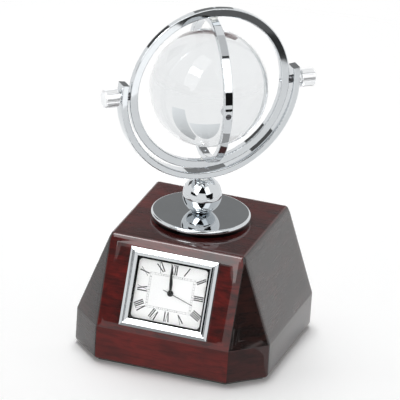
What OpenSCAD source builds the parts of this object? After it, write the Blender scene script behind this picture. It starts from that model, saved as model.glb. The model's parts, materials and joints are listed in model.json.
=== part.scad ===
// Crystal desk clock.
// A solid crystal globe turns in a meridian ring, the ring turns in a hoop, and the hoop
// tilts between two fluted thumb screws in a swivelling yoke.  The yoke stands on a chrome
// ball and disc on a lacquered wooden block, which holds a rectangular quartz clock insert.
// Millimetres.  +Z is up, the dial faces -Y, and the origin is the centre of the felt's foot.

/* [Wooden base] */
// Width across the square foot of the block
base_w = 103.8; // [96:0.2:130]
// Width of the square top of the block
top_w = 71.2; // [66:0.2:80]
// Height of the block
base_h = 64.6; // [60:0.2:80]
// Height of the upright band round the foot
band_h = 18.8; // [8:0.2:20]
// Length cut from each side by a corner facet at the foot
corner_cut = 16.6; // [8:0.1:22]
// Rounding of the lacquered edges
edge_r = 2.2; // [0.8:0.1:3]
// Thickness of the felt pad
felt_t = 1; // [0.6:0.1:2]
// Distance from the foot's edge to the felt
felt_inset = 3; // [2.5:0.5:8]

/* [Pedestal] */
// Diameter of the chrome disc
disc_d = 51; // [40:0.5:60]
// Thickness of the chrome disc
disc_t = 4; // [3:0.1:6]
// Rounding of the disc's rim
disc_r = 1.6; // [0.5:0.1:1.9]
// Diameter of the chrome ball
ball_d = 20.2; // [17:0.1:24]
// Diameter of the flats at the ball's top and bottom
ball_flat_d = 8; // [6.8:0.1:10]
// Thickness of the nylon washer that the yoke swivels on
swivel_washer_t = 0.3; // [0.2:0.1:1]
// Diameter of the long bolt through the block
bolt_d = 6; // [4:0.5:6]
// Width across the bolt's hexagon head
bolt_head_w = 10; // [8:0.5:12]
// Height of the bolt's head
bolt_head_h = 4; // [3:0.1:5]
// Diameter of the pocket for the bolt's head
bolt_pocket_d = 18; // [17:0.5:24]
// Depth of the pocket for the bolt's head
bolt_pocket_h = 9; // [7:0.5:12]
// Thickness of the bolt's washer
bolt_washer_t = 1.5; // [1:0.1:2]
// Depth of the threads in the ball, from each flat
ball_thread = 7; // [4:0.5:7.5]

/* [Yoke] */
// Inner radius of the yoke
yoke_r = 45.2; // [44.6:0.1:50]
// Radial thickness of the yoke's bar
yoke_t = 3.6; // [3:0.1:5]
// Width of the yoke's bar
yoke_w = 7; // [6:0.1:9]
// Angle that the yoke's ends rise above the knobs' axis
yoke_rise = 8.7; // [6:0.1:14]
// Turn of the yoke on its swivel as it stands
yoke_turn = 41.5; // [0:0.5:90]
// Height of the yoke's foot below its bar
foot_h = 0.3; // [0.2:0.1:2]
// Diameter of the swivel screw
screw_d = 4; // [3:0.1:4]
// Diameter of the swivel screw's countersunk head
screw_head_d = 6; // [5:0.1:6.2]

/* [Thumb screws] */
// Diameter of a knob
knob_d = 9.3; // [8:0.1:14]
// Length of a knob's fluted grip
knob_len = 7.4; // [5:0.1:12]
// Number of flutes round a knob
flutes = 8; // [6:1:16]
// Radius of a flute
flute_r = 0.8; // [0.5:0.05:0.9]
// Diameter of the neck between knob and yoke
neck_d = 5.6; // [4:0.1:6]
// Length of the neck between knob and yoke
neck_len = 1.1; // [0.6:0.1:3]
// Diameter of the stud through the yoke
stud_d = 2.6; // [2.2:0.1:3]
// Diameter of the plain tip that carries the hoop
tip_d = 1.8; // [1.4:0.1:2]
// Diameter of the spacer between yoke and hoop
spacer_d = 4; // [3.6:0.1:5]

/* [Hoop] */
// Outer radius of the hoop
hoop_r = 43.4; // [42.6:0.1:43.6]
// Radial thickness of the hoop's bar
hoop_t = 4.3; // [3.5:0.1:4.4]
// Width of the hoop's bar
hoop_w = 3.4; // [3:0.1:5]
// Diameter of the upright pivot pins
pivot_d = 1.8; // [1.4:0.1:2]
// Diameter of the washers between hoop and ring
pivot_washer_d = 4; // [3:0.1:4.2]

/* [Meridian ring and globe] */
// Outer radius of the meridian ring
ring_r = 37.7; // [37:0.1:37.8]
// Radial thickness of the ring's bar
ring_t = 3; // [2:0.1:4]
// Width of the ring's bar
ring_w = 4.4; // [4:0.1:6]
// Turn of the ring from the hoop as it stands
ring_turn = 97.7; // [45:0.1:135]
// Diameter of the crystal globe
globe_d = 60; // [54:0.5:62]
// Diameter of a globe pin
globe_pin_d = 2; // [1.5:0.1:2.5]
// Diameter of a globe pin's head
globe_pin_head_d = 3; // [2.8:0.1:3.4]
// Depth of a globe pin in the crystal
globe_pin_depth = 5; // [3:0.5:8]
// Diameter of the collars between ring and globe
collar_d = 4; // [3.4:0.1:4.4]

/* [Clock insert] */
// Outside width of the bezel
bezel_w = 46.7; // [46:0.1:50]
// Outside height of the bezel
bezel_h = 40.4; // [39.5:0.1:43]
// Width of the bezel's moulding
moulding_w = 4.05; // [3.6:0.05:4.2]
// Height of the bezel's outer rim above the wood
rim_h = 2; // [1.8:0.1:3]
// Width of the bezel's outer rim
rim_w = 1.7; // [1.2:0.1:2]
// Distance down the slope from the block's top edge to the dial's centre
insert_drop = 25.35; // [24.5:0.05:26.5]
// Overlap of the bezel's lip on the lens
lens_lap = 0.7; // [0.4:0.1:1]
// Thickness of the lens
lens_t = 0.9; // [0.6:0.1:1.1]
// Width of the black border round the dial
border_w = 1; // [0.5:0.1:2]
// Corner radius of the black border's window
border_r = 2; // [1:0.1:4]
// Space between lens and dial
dial_gap = 1.8; // [1.8:0.1:3]
// Thickness of the dial
dial_t = 0.5; // [0.3:0.1:1]
// Wall of the tray behind the bezel
tray_wall = 0.8; // [0.5:0.1:0.9]
// Floor of the tray behind the dial
tray_floor = 1; // [0.8:0.1:2]
// Diameter of the round can behind the tray
can_d = 33; // [32.5:0.1:34]
// Wall of the round can
can_wall = 1.2; // [0.8:0.1:1.5]
// Depth of the can behind the wood's face
can_depth = 18; // [18:0.1:19]
// Stand-off between the can and the wall of its pocket
can_gap = 0.7; // [0.5:0.05:1]
// Room behind the setting knob
pocket_spare = 1.1; // [0.5:0.1:3]

/* [Hands] */
// Length of the hour hand
hour_len = 10.8; // [8:0.1:12]
// Widest part of the hour hand's blade
hour_blade_w = 1.7; // [1:0.1:2]
// Distance from the hub to the hour hand's widest part
hour_blade_at = 5; // [3:0.1:6]
// Length of the minute hand
minute_len = 14.2; // [12:0.1:14.8]
// Widest part of the minute hand's blade
minute_blade_w = 1.3; // [0.8:0.1:1.6]
// Distance from the hub to the minute hand's widest part
minute_blade_at = 7; // [4:0.1:8]
// Length of the second hand
second_len = 13; // [10:0.1:14.8]
// Length of the second hand's tail
second_tail = 3.8; // [2:0.1:5]
// Width of the second hand
second_w = 0.36; // [0.3:0.01:0.6]
// Width of a hand's stem at its hub
stem_w = 0.9; // [0.6:0.1:1.2]
// Width of a hand's tip
tip_w = 0.3; // [0.2:0.05:0.5]
// Hour hand's angle, clockwise from twelve
hour_angle = -5; // [-180:1:180]
// Minute hand's angle, clockwise from twelve
minute_angle = -5.5; // [-180:0.5:180]
// Second hand's angle, clockwise from twelve
second_angle = 107.5; // [-180:0.5:180]
// Thickness of a hand
hand_t = 0.2; // [0.15:0.01:0.22]
// Space between the dial and the hands, and between one hand and the next
hand_gap = 0.2; // [0.15:0.01:0.25]

/* [Movement] */
// Gear module of the motion work
gear_m = 0.35; // [0.32:0.01:0.36]
// Teeth of the pinion on the minute hand's pipe
cannon_teeth = 10; // [10:1:10]
// Teeth of the wheel that the setting knob turns
wheel_teeth = 30; // [30:1:30]
// Teeth of the pinion on that wheel
pinion_teeth = 8; // [8:1:8]
// Teeth of the wheel on the hour hand's pipe
hour_teeth = 32; // [32:1:32]
// Thickness of a gear
gear_t = 0.6; // [0.4:0.05:0.7]
// Inside depth of the movement's case
case_room = 6.4; // [6:0.1:6.6]
// Wall of the movement's case
case_wall = 1; // [0.8:0.1:1.2]
// Front plate of the movement's case
case_front = 0.8; // [0.6:0.1:1]
// Diameter of the second hand's arbor
arbor_d = 0.8; // [0.6:0.1:0.9]
// Wall of the minute and hour pipes
pipe_wall = 0.35; // [0.25:0.05:0.35]
// Diameter of the setting stem
stem_d = 1.6; // [1.2:0.1:1.6]
// Diameter of the setting knob
set_knob_d = 8; // [6:0.1:10]
// Height of the setting knob
set_knob_h = 3; // [2:0.1:3.4]
// Diameter of the button cell
cell_d = 11.6; // [9.5:0.1:12]
// Height of the button cell
cell_h = 5.4; // [3.6:0.1:5.4]

/* [Clearances] */
// Radial clearance of a shaft that turns in its hole
run_gap = 0.05; // [0.03:0.01:0.09]
// Radial clearance of a fixed pin or thread
fix_gap = 0.02; // [0.01:0.01:0.05]
// End play between faces that turn on each other
seat_gap = 0.05; // [0.03:0.01:0.1]
// Clearance of parts that drop into each other
drop_gap = 0.1; // [0.05:0.01:0.2]
// Clearance between the tray and its recess in the wood
recess_gap = 0.3; // [0.2:0.05:0.5]
// Space that turning gears keep from each other's faces and from the case
gear_gap = 0.5; // [0.3:0.05:0.55]

/* [Hidden] */
$fn = 64;
over = 1;
edge_fn = 40;

// Heights up the pedestal
wood_z = felt_t;
disc_z = wood_z + base_h;
ball_z = disc_z + disc_t;
ball_h = sqrt(ball_d * ball_d - ball_flat_d * ball_flat_d);
ball_top = ball_z + ball_h;
foot_z = ball_top + swivel_washer_t + seat_gap;
yoke_out = yoke_r + yoke_t;
gimbal_z = foot_z + foot_h + yoke_out;

// Corner facets: half widths across the diagonal
facet_foot = (base_w - corner_cut) / sqrt(2);
facet_top = top_w / sqrt(2);

// Bolt
bolt_seat = wood_z + bolt_pocket_h;
bolt_clear = 0.2;
bolt_washer_d = bolt_pocket_d - 2;

// Yoke's foot and screw, measured down from the gimbal's centre
yoke_foot_d = yoke_w - 0.4;
yoke_edge = 0.6;
screw_sink = 0.15;

// Thumb screws, measured out from the gimbal's centre
hoop_in = hoop_r - hoop_t;
hoop_edge = 0.5;
tip_end = hoop_in + 0.6;
tip_start = hoop_r + seat_gap;
neck_start = yoke_out + seat_gap;
grip_start = neck_start + neck_len;
grip_end = grip_start + knob_len;
grip_bevel = 0.7;
flute_out = 0.35 * flute_r;
// Drop of the yoke's curved inner face at the spacer's edge
spacer_sag = yoke_r - sqrt(yoke_r * yoke_r - spacer_d * spacer_d / 4);

// Hoop's pivot pins and washers, measured out from the gimbal's centre
pivot_head = 0.2;
ring_in = ring_r - ring_t;
ring_edge = 0.4;
pivot_end = ring_in + 0.3;
pivot_washer_sag = hoop_in - sqrt(hoop_in * hoop_in - pivot_washer_d * pivot_washer_d / 4);

// Globe and its pins
globe_r = globe_d / 2;
pin_head_h = 0.9;
pin_head_sink = 0.2;
slot_w = 0.5;
slot_depth = 0.4;
bore_spare = 0.3;
collar_sag = ring_in - sqrt(ring_in * ring_in - collar_d * collar_d / 4);

// Clock insert: levels along the dial's axis, with the wood's face at zero
face_lean = atan((base_w - top_w) / 2 / (base_h - band_h));
face_y = top_w / 2 + insert_drop * sin(face_lean);
face_z = wood_z + base_h - insert_drop * cos(face_lean);
window_w = bezel_w - 2 * moulding_w;
window_h = bezel_h - 2 * moulding_w;
lens_w = window_w + 2 * lens_lap;
lens_h = window_h + 2 * lens_lap;
lens_corner = 1.2;
tray_w = lens_w + 2 * drop_gap + 2 * tray_wall;
tray_h = lens_h + 2 * drop_gap + 2 * tray_wall;
dial_z = -dial_gap;
tray_top = dial_z - dial_t;
tray_z = tray_top - tray_floor;
recess_d = -tray_z + recess_gap;
pocket_d = can_d + 2 * can_gap;
can_in = can_d - 2 * can_wall;

// Bezel's moulding
groove_w = 0.5;
groove_d = 0.6;
moulding_edge = 0.35;
inner_step = 0.25;
lip_t = 0.3;

// Rubber grip ring
ribs = 3;
rib_h = 2;

// Movement levels
case_d = can_in - 4 * drop_gap;
case_z = tray_z - case_front;
cover_top = case_z - case_room;
cover_t = 1;
cover_z = cover_top - cover_t;
gear_step = gear_t + gear_gap;
hour_gear_z = case_z - gear_gap - gear_t;
minute_gear_z = hour_gear_z - gear_step;
second_gear_z = minute_gear_z - gear_step;
second_gear_r = 4;
second_gear_teeth = 40;
gear_reach = gear_m * (cannon_teeth + wheel_teeth) / 2;
minute_pipe_in = arbor_d / 2 + run_gap;
minute_pipe_out = minute_pipe_in + pipe_wall;
hour_pipe_in = minute_pipe_out + run_gap;
hour_pipe_out = hour_pipe_in + pipe_wall;
board_t = 0.6;
board_lift = 0.9;
board_z = cover_top + board_lift;
coil_r = (case_z - drop_gap - board_z - board_t) / 2;
coil_len = 12;
coil_y = gear_m * hour_teeth / 2 + gear_m + coil_r + gear_gap;
cell_y = 7;
cell_top = cover_z - seat_gap;
cell_z = cell_top - cell_h;
cell_wall = 0.8;
clip_t = 0.3;
clip_w = 3;
back_t = 1;
spigot_h = 1.5;
set_knob_proud = 0.4;
set_knob_z = -can_depth - back_t - set_knob_proud;
pocket_depth = -set_knob_z + pocket_spare;

// Hand levels
hour_z = dial_z + hand_gap;
minute_z = hour_z + hand_t + hand_gap;
second_z = minute_z + hand_t + hand_gap;
hub_wall = 0.4;
pipe_proud = 0.05;
pivot_end_play = 0.1;

// Rounded bar section, centred, so that every edge of a ring is eased
module bar_section(t, w, r) {
    square([t - 2 * r, w], center = true);
    square([t, w - 2 * r], center = true);
    for (x = [-1, 1], y = [-1, 1])
        translate([x * (t / 2 - r), y * (w / 2 - r)])
            circle(r);
}

// Ring of bar in the upright plane through X, swept from one angle through another
module upright_ring(r_out, t, w, edge, from = 0, sweep = 360) {
    rotate([90, 0, 0])
        rotate([0, 0, from])
            rotate_extrude(angle = sweep, $fn = 128)
                translate([r_out - t / 2, 0])
                    bar_section(t, w, edge);
}

// Rounded rectangle
module round_rect(w, h, r) {
    square([w - 2 * r, h], center = true);
    square([w, h - 2 * r], center = true);
    for (x = [-1, 1], y = [-1, 1])
        translate([x * (w / 2 - r), y * (h / 2 - r)])
            circle(r);
}

// Plate with rounded corners between two levels
module plate(w, h, r, low, high) {
    translate([0, 0, low])
        linear_extrude(high - low)
            round_rect(w, h, r);
}

// Tube, or a rod where the bore is nought, between two levels
module tube(r_out, r_in, low, high) {
    difference() {
        translate([0, 0, low])
            cylinder(r = r_out, h = high - low);
        if (r_in > 0)
            translate([0, 0, low - over])
                cylinder(r = r_in, h = high - low + 2 * over);
    }
}

// Points out along X instead of up
module outward() {
    rotate([0, 90, 0])
        children();
}

// Slim clock tooth: share of the pitch from its middle, and height from the pitch line in modules
TOOTH = [[-0.30, -1.15], [-0.21, 0], [-0.10, 0.8], [0.10, 0.8], [0.21, 0], [0.30, -1.15]];

// Gear of such teeth; turn puts the middle of a tooth at an angle
function tooth_ring(teeth, m) = [
    for (i = [0 : teeth - 1], p = TOOTH)
        let (a = 360 / teeth * (i + p[0]), r = m * (teeth / 2 + p[1]))
            [r * cos(a), r * sin(a)]
];

module gear(teeth, turn, low, bore_r) {
    translate([0, 0, low])
        rotate([0, 0, turn])
            difference() {
                linear_extrude(gear_t)
                    polygon(tooth_ring(teeth, gear_m));
                translate([0, 0, -over])
                    cylinder(r = bore_r, h = gear_t + 2 * over);
            }
}

// Frames that the pieces are drawn in
module at_gimbal() {
    translate([0, 0, gimbal_z])
        rotate([0, 0, yoke_turn])
            children();
}

module at_ring() {
    at_gimbal()
        rotate([0, 0, -ring_turn])
            children();
}

module at_dial() {
    translate([0, -face_y, face_z])
        rotate([90 - face_lean, 0, 0])
            children();
}

// Setting stem's place, straight below the hands
module at_stem() {
    translate([0, -gear_reach, 0])
        children();
}

// Wooden base

// Upright slab with one pair of the block's faces, drawn in by the edges' rounding
module face_pair(half_foot, half_top) {
    rotate([90, 0, 0])
        linear_extrude(2 * base_w, center = true)
            offset(delta = -edge_r)
                polygon([[-half_foot, 0], [half_foot, 0], [half_foot, band_h],
                         [half_top, base_h], [-half_top, base_h], [-half_foot, band_h]]);
}

module block_form() {
    minkowski() {
        intersection_for (turn = [0 : 45 : 135])
            rotate([0, 0, turn])
                face_pair(turn % 90 == 0 ? base_w / 2 : facet_foot,
                          turn % 90 == 0 ? top_w / 2 : facet_top);
        sphere(edge_r, $fn = edge_fn);
    }
}

module base_block() {
    color([0.30, 0.10, 0.09])
        difference() {
            translate([0, 0, wood_z])
                block_form();
            translate([0, 0, wood_z - over])
                cylinder(d = bolt_d + 2 * bolt_clear, h = base_h + 2 * over);
            translate([0, 0, wood_z - over])
                cylinder(d = bolt_pocket_d, h = bolt_pocket_h + over);
            at_dial() {
                plate(tray_w + 2 * recess_gap, tray_h + 2 * recess_gap, lens_corner, -recess_d, edge_r);
                translate([0, 0, -pocket_depth])
                    cylinder(d = pocket_d, h = pocket_depth);
            }
        }
}

module felt_pad() {
    felt_w = base_w - 2 * felt_inset;
    felt_facet = facet_foot - felt_inset;
    color([0.06, 0.12, 0.09])
        linear_extrude(felt_t)
            intersection() {
                square(felt_w, center = true);
                rotate(45)
                    square(2 * felt_facet, center = true);
            }
}

module base_bolt() {
    head_top = bolt_seat - bolt_washer_t;
    color([0.62, 0.63, 0.65]) {
        translate([0, 0, head_top - bolt_head_h])
            cylinder(d = bolt_head_w / cos(30), h = bolt_head_h, $fn = 6);
        translate([0, 0, head_top])
            cylinder(d = bolt_d, h = ball_z + ball_thread - head_top);
    }
}

module bolt_washer() {
    color([0.62, 0.63, 0.65])
        tube(bolt_washer_d / 2, bolt_d / 2 + bolt_clear, bolt_seat - bolt_washer_t, bolt_seat);
}

// Pedestal

module base_disc() {
    bore_r = bolt_d / 2 + bolt_clear;
    color([0.80, 0.81, 0.83])
        translate([0, 0, disc_z])
            rotate_extrude($fn = 128) {
                translate([bore_r, 0])
                    square([disc_d / 2 - disc_r - bore_r, disc_t]);
                translate([disc_d / 2 - disc_r - over, disc_r])
                    square([disc_r + over, disc_t - 2 * disc_r]);
                for (y = [disc_r, disc_t - disc_r])
                    translate([disc_d / 2 - disc_r, y])
                        circle(disc_r);
            }
}

module ball_pedestal() {
    color([0.80, 0.81, 0.83])
        difference() {
            translate([0, 0, ball_z + ball_h / 2])
                intersection() {
                    sphere(d = ball_d);
                    cube([2 * ball_d, 2 * ball_d, ball_h], center = true);
                }
            translate([0, 0, ball_z - over])
                cylinder(d = bolt_d + 2 * fix_gap, h = ball_thread + bore_spare + over);
            translate([0, 0, ball_top - ball_thread - bore_spare])
                cylinder(d = screw_d + 2 * fix_gap, h = ball_thread + bore_spare + over);
        }
}

module swivel_washer() {
    color([0.90, 0.90, 0.88])
        tube(yoke_foot_d / 2, screw_d / 2 + fix_gap, ball_top, ball_top + swivel_washer_t);
}

// Countersunk swivel screw, upright on its axis, with its head's top at nought
module countersunk(head_d, shank_d, shank_len) {
    cone_h = (head_d - shank_d) / 2;
    rotate_extrude()
        polygon([[0, 0], [head_d / 2, 0], [shank_d / 2, -cone_h], [shank_d / 2, -shank_len], [0, -shank_len]]);
}

module yoke_screw() {
    head_top = gimbal_z - yoke_r - screw_sink;
    color([0.70, 0.71, 0.73])
        translate([0, 0, head_top])
            countersunk(screw_head_d, screw_d, head_top - ball_top + ball_thread);
}

// Yoke and thumb screws

module yoke() {
    color([0.80, 0.81, 0.83])
        at_gimbal()
            difference() {
                union() {
                    upright_ring(yoke_out, yoke_t, yoke_w, yoke_edge, 180 - yoke_rise, 180 + 2 * yoke_rise);
                    translate([0, 0, -yoke_out - foot_h])
                        cylinder(d = yoke_foot_d, h = yoke_t / 2 + foot_h);
                }
                translate([0, 0, -yoke_r - screw_sink])
                    countersunk(screw_head_d + 2 * run_gap, screw_d + 2 * run_gap, yoke_t + foot_h + over);
                translate([0, 0, -yoke_r - screw_sink - seat_gap])
                    cylinder(d = screw_head_d + 2 * run_gap, h = over);
                outward()
                    cylinder(d = stud_d + 2 * run_gap, h = 2 * (yoke_out + over), center = true);
            }
}

module spacer() {
    outward()
        tube(spacer_d / 2, stud_d / 2 + run_gap, hoop_r + seat_gap, yoke_r - spacer_sag - fix_gap);
}

module left_spacer() {
    color([0.20, 0.20, 0.21])
        at_gimbal()
            rotate([0, 0, 180])
                spacer();
}

module right_spacer() {
    color([0.20, 0.20, 0.21])
        at_gimbal()
            spacer();
}

// Thumb screw along X: plain tip in the hoop, stud in the yoke, neck and fluted grip
module thumb_screw() {
    outward()
        difference() {
            rotate_extrude()
                polygon([[0, tip_end], [tip_d / 2, tip_end], [tip_d / 2, tip_start],
                         [stud_d / 2, tip_start], [stud_d / 2, neck_start],
                         [neck_d / 2, neck_start], [neck_d / 2, grip_start],
                         [knob_d / 2 - grip_bevel / 2, grip_start], [knob_d / 2, grip_start + grip_bevel / 2],
                         [knob_d / 2, grip_end - grip_bevel], [knob_d / 2 - grip_bevel, grip_end],
                         [0, grip_end]]);
            for (i = [0 : flutes - 1])
                rotate([0, 0, 360 / flutes * i])
                    translate([knob_d / 2 + flute_out, 0, grip_start - over / 2])
                        cylinder(r = flute_r, h = knob_len + over);
        }
}

module left_knob() {
    color([0.80, 0.81, 0.83])
        at_gimbal()
            rotate([0, 0, 180])
                thumb_screw();
}

module right_knob() {
    color([0.80, 0.81, 0.83])
        at_gimbal()
            thumb_screw();
}

// Hoop

module hoop() {
    color([0.80, 0.81, 0.83])
        at_gimbal()
            difference() {
                upright_ring(hoop_r, hoop_t, hoop_w, hoop_edge);
                outward()
                    cylinder(d = tip_d + 2 * run_gap, h = 2 * (hoop_r + over), center = true);
                cylinder(d = pivot_d + 2 * fix_gap, h = 2 * (hoop_r + over), center = true);
            }
}

// Upright pin from the hoop into the ring
module pivot_pin() {
    tube(pivot_d / 2, 0, pivot_end, hoop_r - pivot_head);
}

module pivot_washer() {
    washer_out = hoop_in - pivot_washer_sag - fix_gap;
    tube(pivot_washer_d / 2, pivot_d / 2 + fix_gap, ring_r + seat_gap, washer_out);
}

module upper_pivot_pin() {
    color([0.70, 0.71, 0.73])
        at_gimbal()
            pivot_pin();
}

module lower_pivot_pin() {
    color([0.70, 0.71, 0.73])
        at_gimbal()
            rotate([180, 0, 0])
                pivot_pin();
}

module upper_washer() {
    color([0.20, 0.20, 0.21])
        at_gimbal()
            pivot_washer();
}

module lower_washer() {
    color([0.20, 0.20, 0.21])
        at_gimbal()
            rotate([180, 0, 0])
                pivot_washer();
}

// Meridian ring and globe

module meridian_ring() {
    color([0.80, 0.81, 0.83])
        at_ring()
            difference() {
                upright_ring(ring_r, ring_t, ring_w, ring_edge);
                cylinder(d = pivot_d + 2 * run_gap, h = 2 * (ring_r + over), center = true);
                for (side = [0, 180])
                    rotate([0, 0, side])
                        outward() {
                            translate([0, 0, ring_in - over])
                                cylinder(d = globe_pin_d + 2 * fix_gap, h = ring_t + 2 * over);
                            translate([0, 0, ring_r - pin_head_sink - pin_head_h])
                                cylinder(d = globe_pin_head_d + 2 * fix_gap, h = pin_head_h + over);
                        }
            }
}

// Slotted pin along X, from the ring into the globe
module globe_pin() {
    head_out = ring_r - pin_head_sink;
    outward()
        difference() {
            union() {
                tube(globe_pin_d / 2, 0, globe_r - globe_pin_depth, head_out);
                tube(globe_pin_head_d / 2, 0, head_out - pin_head_h, head_out);
            }
            translate([0, 0, head_out])
                cube([slot_w, 2 * globe_pin_head_d, 2 * slot_depth], center = true);
        }
}

module collar() {
    outward()
        tube(collar_d / 2, globe_pin_d / 2 + fix_gap, globe_r + seat_gap, ring_in - collar_sag - fix_gap);
}

module front_globe_pin() {
    color([0.70, 0.71, 0.73])
        at_ring()
            globe_pin();
}

module rear_globe_pin() {
    color([0.70, 0.71, 0.73])
        at_ring()
            rotate([0, 0, 180])
                globe_pin();
}

module front_collar() {
    color([0.88, 0.88, 0.86])
        at_ring()
            collar();
}

module rear_collar() {
    color([0.88, 0.88, 0.86])
        at_ring()
            rotate([0, 0, 180])
                collar();
}

module globe() {
    bore_end = globe_r - globe_pin_depth - bore_spare;
    color([0.86, 0.90, 0.91, 0.45])
        at_ring()
            difference() {
                // The sphere's seam lies a quarter turn away from the bores
                rotate([0, 0, 90])
                    sphere(globe_r, $fn = 128);
                for (side = [0, 180])
                    rotate([0, 0, side])
                        outward()
                            translate([0, 0, bore_end])
                                cylinder(d = globe_pin_d + 2 * run_gap, h = globe_r - bore_end + over);
            }
}

// Clock insert: face pieces

// Block between two levels, with straight sides from one rectangle to another; each rectangle is
// the bezel's outline drawn in by an inset
module bezel_block(low_inset, low, high_inset, high) {
    w0 = bezel_w / 2 - low_inset;
    h0 = bezel_h / 2 - low_inset;
    w1 = bezel_w / 2 - high_inset;
    h1 = bezel_h / 2 - high_inset;
    polyhedron([[-w0, -h0, low], [w0, -h0, low], [w0, h0, low], [-w0, h0, low],
                [-w1, -h1, high], [w1, -h1, high], [w1, h1, high], [-w1, h1, high]],
               [[0, 1, 2, 3], [4, 5, 1, 0], [7, 6, 5, 4], [5, 6, 2, 1], [6, 7, 3, 2], [7, 4, 0, 3]]);
}

// Stepped frame with mitred corners: bevelled rim, groove, crown, and a slope down to the lip
// that holds the lens
module clock_bezel() {
    e = moulding_edge;
    groove_z = rim_h - groove_d;
    groove_in = rim_w + groove_w;
    crown = groove_in + e / 2;
    crown_z = rim_h - inner_step;
    crown_lean = e / 2 / (crown_z - groove_z);
    lip_z = lens_t + fix_gap;
    sill_z = lip_z + lip_t;
    slope = (moulding_w - crown) / (crown_z - sill_z);
    seat = moulding_w - lens_lap - fix_gap;
    color([0.80, 0.81, 0.83])
        at_dial()
            difference() {
                union() {
                    difference() {
                        bezel_block(0, 0, 0, rim_h);
                        bezel_block(rim_w, groove_z, rim_w - e * (1 + over / groove_d), rim_h + over);
                    }
                    bezel_block(groove_in - crown_lean * groove_z / 2, groove_z / 2, crown, crown_z);
                }
                difference() {
                    bezel_block(-over, rim_h - e - over, -over, rim_h + over);
                    bezel_block(-2 * over, rim_h - e - 2 * over, e + 2 * over, rim_h + 2 * over);
                }
                bezel_block(moulding_w + slope * lip_t, lip_z, crown - slope * inner_step, rim_h);
                bezel_block(moulding_w, -over, moulding_w, rim_h + over);
                bezel_block(seat, -over, seat, lip_z);
            }
}

module clock_lens() {
    color([0.90, 0.93, 0.94, 0.35])
        at_dial()
            plate(lens_w, lens_h, lens_corner, 0, lens_t);
}

module dial_frame() {
    color([0.04, 0.04, 0.05])
        at_dial()
            difference() {
                plate(lens_w, lens_h, lens_corner, dial_z, 0);
                plate(window_w - 2 * border_w, window_h - 2 * border_w, border_r, dial_z - over, over);
            }
}

module dial() {
    color([0.95, 0.95, 0.93])
        at_dial()
            difference() {
                plate(lens_w, lens_h, lens_corner, tray_top, dial_z);
                translate([0, 0, tray_top - over])
                    cylinder(r = hour_pipe_out + recess_gap, h = dial_t + 2 * over);
            }
}

module insert_housing() {
    color([0.09, 0.09, 0.10])
        at_dial()
            difference() {
                union() {
                    plate(tray_w, tray_h, lens_corner, tray_z, 0);
                    translate([0, 0, -can_depth])
                        cylinder(d = can_d, h = can_depth + tray_z);
                }
                plate(tray_w - 2 * tray_wall, tray_h - 2 * tray_wall, lens_corner, tray_top, over);
                translate([0, 0, -can_depth - over])
                    cylinder(d = can_in, h = can_depth + over + tray_z);
                translate([0, 0, tray_z - over])
                    cylinder(r = hour_pipe_out + 2 * recess_gap, h = tray_floor + 2 * over);
            }
}

// Rubber ring with ribs that grips the pocket's wall
module grip_ring() {
    ring_low = -recess_d - ribs * rib_h;
    inner_r = can_d / 2 + fix_gap;
    valley_r = can_d / 2 + can_gap / 2;
    rib_r = pocket_d / 2 - run_gap;
    rib = [[valley_r, 0], [rib_r, 0.4], [rib_r, 0.6], [valley_r, 1]];
    color([0.05, 0.05, 0.05])
        at_dial()
            translate([0, 0, ring_low])
                rotate_extrude($fn = 128)
                    polygon(concat([[inner_r, 0]],
                                   [for (i = [0 : ribs - 1], p = rib) [p[0], (i + p[1]) * rib_h]],
                                   [[inner_r, ribs * rib_h]]));
}

// Clock insert: movement

module movement_case() {
    color([0.14, 0.14, 0.15])
        at_dial()
            difference() {
                translate([0, 0, cover_top])
                    cylinder(d = case_d, h = tray_z - cover_top);
                translate([0, 0, cover_top - over])
                    cylinder(d = case_d - 2 * case_wall, h = case_room + over);
                translate([0, 0, case_z - over])
                    cylinder(r = hour_pipe_out + run_gap, h = case_front + 2 * over);
                at_stem()
                    translate([0, 0, case_z - over])
                        cylinder(d = arbor_d + 2 * run_gap, h = case_front + 2 * over);
            }
}

module movement_cover() {
    cell_seat_h = 0.7 * cell_h;
    cell_seat_r = cell_d / 2 + drop_gap;
    color([0.82, 0.82, 0.80])
        at_dial()
            difference() {
                union() {
                    translate([0, 0, cover_z])
                        cylinder(d = case_d, h = cover_t);
                    translate([0, cell_y, 0])
                        tube(cell_seat_r + cell_wall, cell_seat_r, cover_z - cell_seat_h, cover_top);
                }
                translate([0, 0, cover_z - over])
                    cylinder(d = arbor_d + 2 * run_gap, h = cover_t + 2 * over);
                at_stem()
                    translate([0, 0, cover_z - over])
                        cylinder(d = stem_d + 2 * run_gap, h = cover_t + 2 * over);
            }
}

module circuit_board() {
    board_r = case_d / 2 - case_wall - drop_gap;
    board_edge = 2;
    color([0.10, 0.32, 0.16])
        at_dial()
            translate([0, 0, board_z])
                linear_extrude(board_t)
                    intersection() {
                        circle(board_r);
                        translate([-board_r, board_edge])
                            square([2 * board_r, board_r]);
                    }
}

// Copper winding on its bobbin, lying across the movement
module drive_coil() {
    flange_t = 0.8;
    winding_r = 0.85 * coil_r;
    color([0.72, 0.40, 0.20])
        at_dial()
            translate([0, coil_y, board_z + board_t + coil_r])
                outward() {
                    cylinder(r = winding_r, h = coil_len, center = true);
                    for (side = [-1, 1])
                        translate([0, 0, side * (coil_len - flange_t) / 2])
                            cylinder(r = coil_r, h = flange_t, center = true);
                }
}

module battery() {
    can_r = cell_d / 2;
    lip = 0.4;
    color([0.75, 0.76, 0.78])
        at_dial()
            translate([0, cell_y, cell_z])
                rotate_extrude()
                    polygon([[0, 0], [can_r - lip, 0], [can_r, lip], [can_r, cell_h - lip],
                             [can_r - 2 * lip, cell_h - lip], [can_r - 2 * lip, cell_h], [0, cell_h]]);
}

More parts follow.
